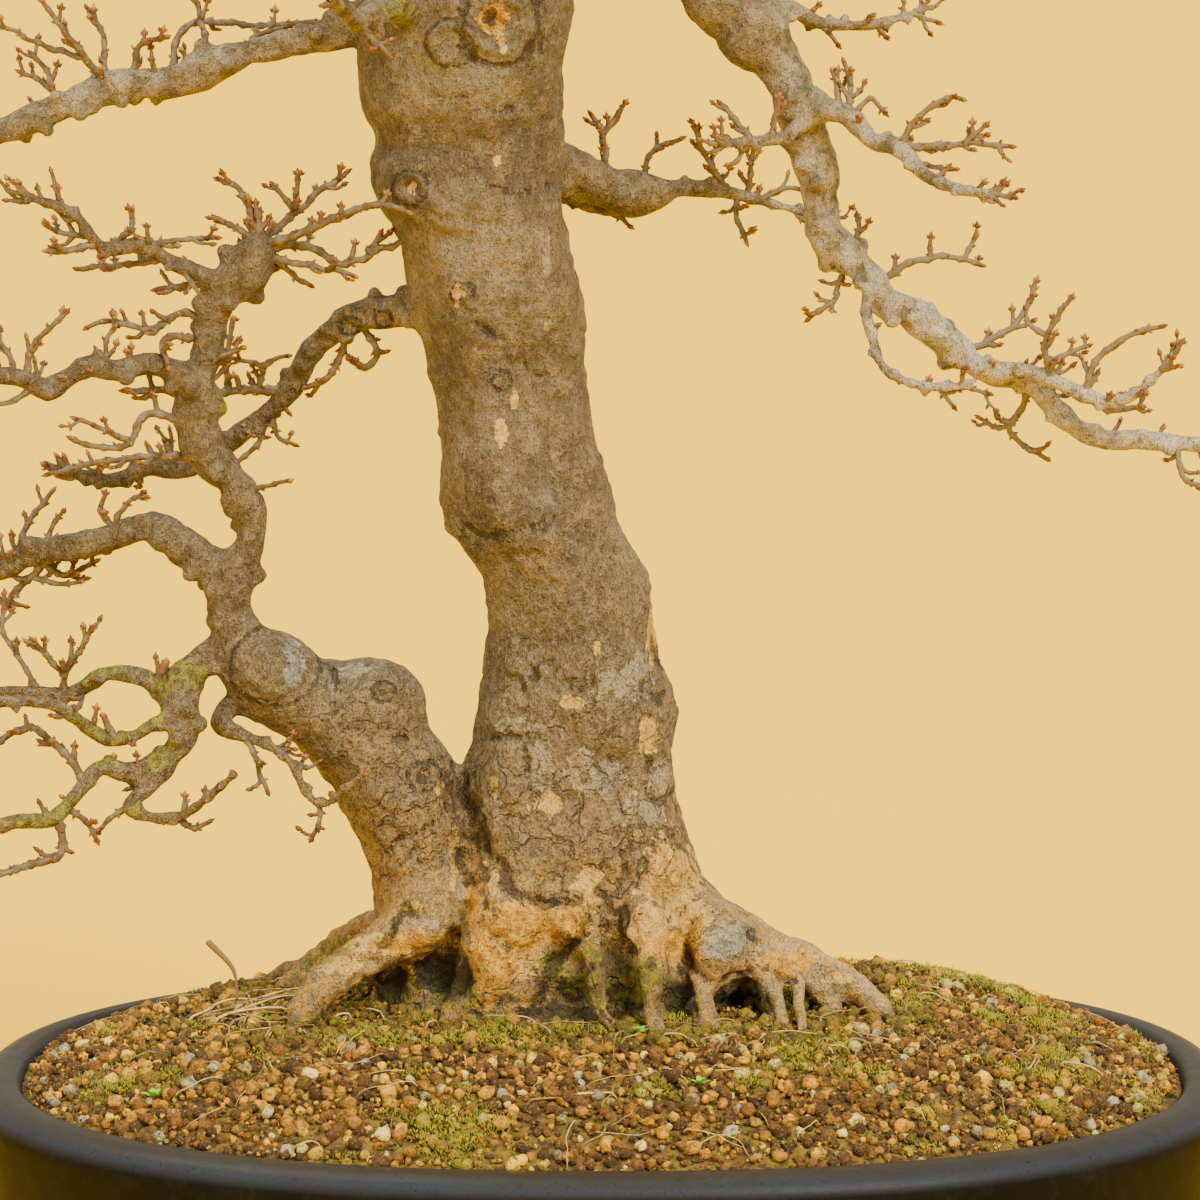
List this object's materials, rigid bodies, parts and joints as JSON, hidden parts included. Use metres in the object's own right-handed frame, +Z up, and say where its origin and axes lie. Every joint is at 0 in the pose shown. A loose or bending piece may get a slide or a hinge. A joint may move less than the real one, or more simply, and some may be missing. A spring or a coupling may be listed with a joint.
{
  "type": "trident maple bonsai",
  "caption": "Leafless trident maple bonsai with a thick leaning trunk, flared surface roots and drooping branches, standing in soil in a low oval pot.",
  "frame": {"origin": "on the table, under the middle of the pot", "axes": "+X to the viewer's right along the pot's length, +Y away from the viewer, +Z up the trunk"},
  "size_m": [0.6339, 0.404, 0.777],
  "materials": {
    "bark": "rough grey-brown bark with fine cracks and lighter peeled patches",
    "soil": "loose brown, orange and cream grains with patches of moss",
    "pot": "unglazed dark stoneware, satin",
    "screen": "moulded open mesh",
    "wire": "dull drawn wire"
  },
  "bodies": {
    "root": {"pot": "pot", "soil": "soil", "tree": "bark", "drain_screen_left": "screen", "drain_screen_right": "screen", "screen_wire_left": "wire", "screen_wire_right": "wire"}
  },
  "joints": []
}
